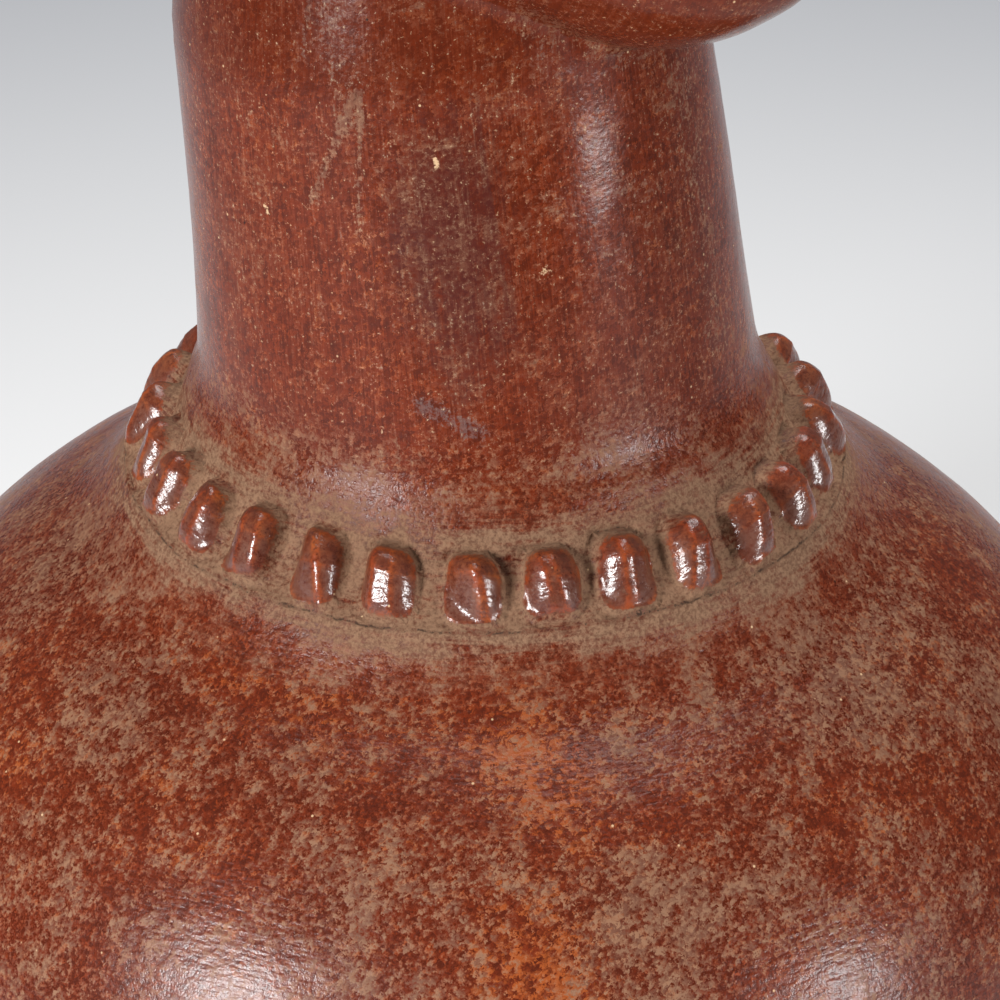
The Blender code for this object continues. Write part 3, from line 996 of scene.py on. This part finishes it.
def clay_finish():
    """Burnished red slip, with a dull film in flakes, dust round the necklace and bare clay inside."""
    material = bpy.data.materials.new("burnished_clay")
    material.use_nodes = True
    tree = material.node_tree
    shader = tree.nodes["Principled BSDF"]
    place = tree.nodes.new("ShaderNodeTexCoord").outputs["Object"]
    grain = noted(tree, "grain").outputs["Vector"]
    apart = tree.nodes.new("ShaderNodeSeparateXYZ")
    tree.links.new(grain, apart.inputs[0])
    climb = Sum(tree, apart.outputs["Z"])
    worn, crease, lie, bead, hair, lining = [
        Sum(tree, noted(tree, name).outputs["Fac"])
        for name in ("worn", "crease", "lie", "bead", "hair", "lining")]

    wide, mottle, fleck, fine = [
        cloud(tree, place, *NOISES[name]) for name in ("wide", "mottle", "fleck", "fine")]
    streak, comb, brush, ripple = [
        cloud(tree, grain, *NOISES[name]) for name in ("streak", "comb", "brush", "ripple")]
    flake, other = flakes(tree, place, FLAKE_SIZE, 60.0, fleck + fine)

    # Slip, brighter and darker, and rubbed to orange here and there
    on_neck = climb.rise(0.026, 0.048)
    vein = fine * (1 - on_neck * 0.6) + streak * on_neck * 0.6
    patch = mottle * (1 - on_neck * 0.45) + comb * on_neck * 0.45
    colour = layer(tree, (patch * 0.35 + vein * 0.50 + flake * 0.15).rise(0.36, 0.60), SLIP_DARK, SLIP)
    colour = layer(tree, (fleck * 0.45 + vein * 0.45 + other * 0.10).rise(0.48, 0.66), colour, SLIP_BRIGHT)
    amber = spots(tree, place, AMBER_SPOTS) + near(tree, grain, grain_spot(*NECK_AMBER), NECK_AMBER_REACH)
    rubbed = patch * 0.45 - on_neck * 0.03 + fleck * 0.25 + fine * 0.25
    rubbed = rubbed + other * 0.14 + wide * 0.12 + amber * 0.08
    colour = layer(tree, rubbed.rise(0.64, 0.76) * 0.85, colour, ORANGE)

    stain = near(tree, grain, grain_spot(*NECK_STAIN), NECK_STAIN_REACH)
    stain = (stain * 0.9 + (comb - 0.5) * 1.1 + (fleck - 0.5) * 0.7).rise(0.30, 0.90)
    colour = layer(tree, stain * 0.72, colour, STAIN)

    # A dull grey-brown film in flakes, drawn out into streaks on the neck
    heavy = spots(tree, place, HEAVY_SPOTS)
    scatter = fleck * 0.40 + fine * 0.38 + flake * 0.10 + mottle * 0.34 - wide * 0.16 + heavy * 0.05
    film = scatter.rise(0.500, 0.650)
    streaks = (streak * 0.50 + comb * 0.30 + fine * 0.25).rise(0.54, 0.66)
    stirred = (streak - 0.5) * 1.4 + (fine - 0.5) * 2.6 + (fleck - 0.5) * 1.6
    marks = (smears(tree, grain, FILM_SMEARS) + stirred).rise(0.40, 0.95)
    film = film * (1 - on_neck * 0.72) + (streaks * 0.32 + marks * 0.55) * on_neck
    film_tone = (fine * 0.6 + other * 0.4).rise(0.30, 0.70)
    colour = layer(tree, film * 0.76, colour, layer(tree, film_tone, FILM_DARK, FILM))
    blue = (smears(tree, grain, BLUE_SMEARS) + stirred).rise(0.40, 1.00) * on_neck
    colour = layer(tree, blue * 0.6, colour, FILM_BLUE)

    # Dust, thick in the groove round the beads and thin beyond it
    thick = climb.rise(-0.011, -0.001) * climb.rise(0.030, 0.018)
    thin = climb.rise(-0.036, -0.004) * climb.rise(0.047, 0.022)
    uneven = (fleck - 0.5) * 1.0 + (brush - 0.5) * 1.3 + (mottle - 0.5) * 1.5 + (fine - 0.5) * 0.8
    polish = (bead + (fleck - 0.5) * 1.2 + (mottle - 0.5) * 0.9 + (fine - 0.5) * 0.5).rise(0.56, 0.92)
    hazy = climb.rise(-0.030, -0.002) * climb.rise(0.041, 0.024)
    colour = layer(tree, (hazy * 0.8 + uneven * 1.1).rise(0.15, 1.2) * 0.7, colour, DUST_THIN)
    dust = (thick * 0.62 + thin * 0.20 + uneven * 1.0).rise(0.16, 1.0) * (1 - polish * 0.96)
    # Painted light: dust in the necklace's band is made a little paler, to lift the shade between the beads
    gap_light = climb.rise(-0.001, 0.003) * climb.rise(0.020, 0.016)
    dust_tone = (fine * 0.8 + fleck * 0.3 + brush * 0.1 + gap_light * 0.06).rise(0.43, 0.76)
    colour = layer(tree, dust * 0.90, colour, layer(tree, dust_tone, DUST_DARK, DUST))
    colour = layer(tree, polish * 0.55, colour, SLIP_DARK)
    # Painted sheen: the polished beads' lower faces are greyed where they reflect the lamps
    facet_sheen = polish * (1 - worn) * lie.rise(0.65, -0.15) * (mottle * 0.6 + fine * 0.4).rise(0.40, 0.56)
    colour = layer(tree, facet_sheen * 0.40, colour, FACET_SHEEN)
    bead_rub = (worn + lie.rise(-0.2, 0.7) * 0.3).at_most(1.0) * polish
    bead_rub = bead_rub * (fleck * 0.6 + fine * 0.4).rise(0.38, 0.60)
    colour = layer(tree, bead_rub, colour, layer(tree, mottle.rise(0.40, 0.70), SLIP_BRIGHT, ORANGE))
    # A dark crack line along the necklace's lower edge, and painted shade in the creases at the beads'
    # upper and lower ends
    seam = (climb + 0.0007 + (wide - 0.5) * 0.004 + (fleck - 0.5) * 0.002).hump(0.00035)
    crease_shade_and_crack = crease.rise(0.40, 1.10) * fine.rise(0.40, 0.65) + seam * (mottle + fine).rise(0.95, 1.15)
    colour = layer(tree, crease_shade_and_crack.at_most(1.0) * 0.85, colour, SOOT_AND_SHADE)
    # Painted shade: the head and the neck's top are darkened, as where the jaw's underside is in shadow
    head_shade = climb.rise(0.105, 0.125)
    colour = layer(tree, head_shade * 0.45, colour, SLIP_DARK)

    grits, pits = specks(tree, place, *GRITS), specks(tree, place, *PITS)
    chips = (smears(tree, grain, PALE_CHIPS) + (fine - 0.5) * 3.0).rise(0.4, 1.0) * on_neck
    colour = layer(tree, (grits + chips).at_most(1.0) * 0.72, colour, GRIT)
    colour = layer(tree, pits * 0.9, colour, SOOT_AND_SHADE)
    colour = layer(tree, lining.rise(0.4, 1.0), colour, layer(tree, mottle, LINING, DUST_DARK))
    tree.links.new(colour, shader.inputs["Base Color"])

    gloss = 0.29 + film * 0.16 + (fine - 0.5) * 0.14 + (wide - 0.5) * 0.08 - on_neck * 0.08
    dull = dust * 0.50 + grits * 0.3 + lining * 0.6 + hair * 0.06
    feed(tree, shader.inputs["Roughness"], (gloss + dull).at_least(0.14).at_most(0.95))

    smooth = 1 - on_neck * 0.60
    height = (fleck * 0.00013 + ripple * 0.00014 + fine * 0.000060) * smooth
    height = height + (ripple * 0.00006 + fine * 0.00013) * thin * (1 - bead)
    height = height - crease.rise(0.30, 0.90) * 0.00018
    bump = tree.nodes.new("ShaderNodeBump")
    bump.inputs["Strength"].default_value = 1.0
    bump.inputs["Distance"].default_value = 1.0
    feed(tree, bump.inputs["Height"], height)
    for name in ("Normal", "Coat Normal"):
        tree.links.new(bump.outputs["Normal"], shader.inputs[name])
    shader.inputs["Specular IOR Level"].default_value = 0.22
    shader.inputs["Coat Roughness"].default_value = 0.13
    varnish = polish * thin + (1 - thin) * (1 - on_neck * 0.8) * 0.22
    feed(tree, shader.inputs["Coat Weight"], varnish * (1 - dust) * (1 - film * 0.6))
    return material


# Studio

def around(azimuth, elevation, distance, height):
    """A place round the vessel at these angles."""
    return Vector((math.sin(azimuth) * math.cos(elevation) * distance,
                   -math.cos(azimuth) * math.cos(elevation) * distance,
                   math.sin(elevation) * distance + height))


def aim(thing, target):
    thing.rotation_euler = (target - thing.location).to_track_quat("-Z", "Y").to_euler()


def put_camera():
    camera = bpy.data.objects.new("camera", bpy.data.cameras.new("camera"))
    bpy.context.scene.collection.objects.link(camera)
    side = Vector((math.cos(CAMERA_AZIMUTH), math.sin(CAMERA_AZIMUTH), 0.0)) * CAMERA_AIM_RIGHT
    target = side + Vector((0.0, 0.0, CAMERA_AIM_HEIGHT))
    camera.location = around(CAMERA_AZIMUTH, CAMERA_ELEVATION, CAMERA_DISTANCE, CAMERA_AIM_HEIGHT) + side
    aim(camera, target)
    camera.data.lens = CAMERA_LENS
    camera.data.sensor_width = 36
    bpy.context.scene.camera = camera


def put_light(name, azimuth, elevation, distance, width, tall, power):
    """A soft box at an angle from the camera's side, aimed at the middle of the vessel."""
    light = bpy.data.lights.new(name, "AREA")
    light.shape = "RECTANGLE"
    light.size = width
    light.size_y = tall
    light.energy = power
    box = bpy.data.objects.new(name, light)
    bpy.context.scene.collection.objects.link(box)
    turn = CAMERA_AZIMUTH + math.radians(azimuth)
    box.location = around(turn, math.radians(elevation), distance, LIT_HEIGHT)
    aim(box, Vector((0.0, 0.0, LIT_HEIGHT)))


def put_floor():
    """A pale floor, painted darker away from the vessel: painted shade where the lamps' light falls off."""
    mesh = bpy.data.meshes.new("floor")
    corners = [(x * FLOOR_HALF, y * FLOOR_HALF, 0) for x, y in ((-1, -1), (1, -1), (1, 1), (-1, 1))]
    mesh.from_pydata(corners, [], [(0, 1, 2, 3)])
    floor = bpy.data.objects.new("floor", mesh)
    bpy.context.scene.collection.objects.link(floor)
    material = bpy.data.materials.new("pale_floor")
    material.use_nodes = True
    tree = material.node_tree
    shader = tree.nodes["Principled BSDF"]
    place = tree.nodes.new("ShaderNodeTexCoord").outputs["Object"]
    length = tree.nodes.new("ShaderNodeVectorMath")
    length.operation = "LENGTH"
    tree.links.new(place, length.inputs[0])
    # Painted shade: the floor's colour darkens with distance from the vessel
    fade = Sum(tree, length.outputs["Value"]).rise(*FLOOR_FADE)
    tree.links.new(layer(tree, fade, FLOOR_NEAR, FLOOR_FAR), shader.inputs["Base Color"])
    shader.inputs["Roughness"].default_value = 0.9
    shader.inputs["Specular IOR Level"].default_value = 0.2
    mesh.materials.append(material)


def put_sky():
    world = bpy.data.worlds.new("studio")
    bpy.context.scene.world = world
    world.use_nodes = True
    background = world.node_tree.nodes["Background"]
    background.inputs["Color"].default_value = (0.96, 0.98, 1.0, 1.0)
    background.inputs["Strength"].default_value = SKY_STRENGTH


def main():
    put_camera()
    for soft_box in SOFT_BOXES:
        put_light(*soft_box)
    put_sky()
    put_floor()
    bpy.context.scene.view_settings.view_transform = "Standard"
    vessel = with_relief(build_skin(), clay_finish())
    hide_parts("vessel")
    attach(vessel, "root")


main()
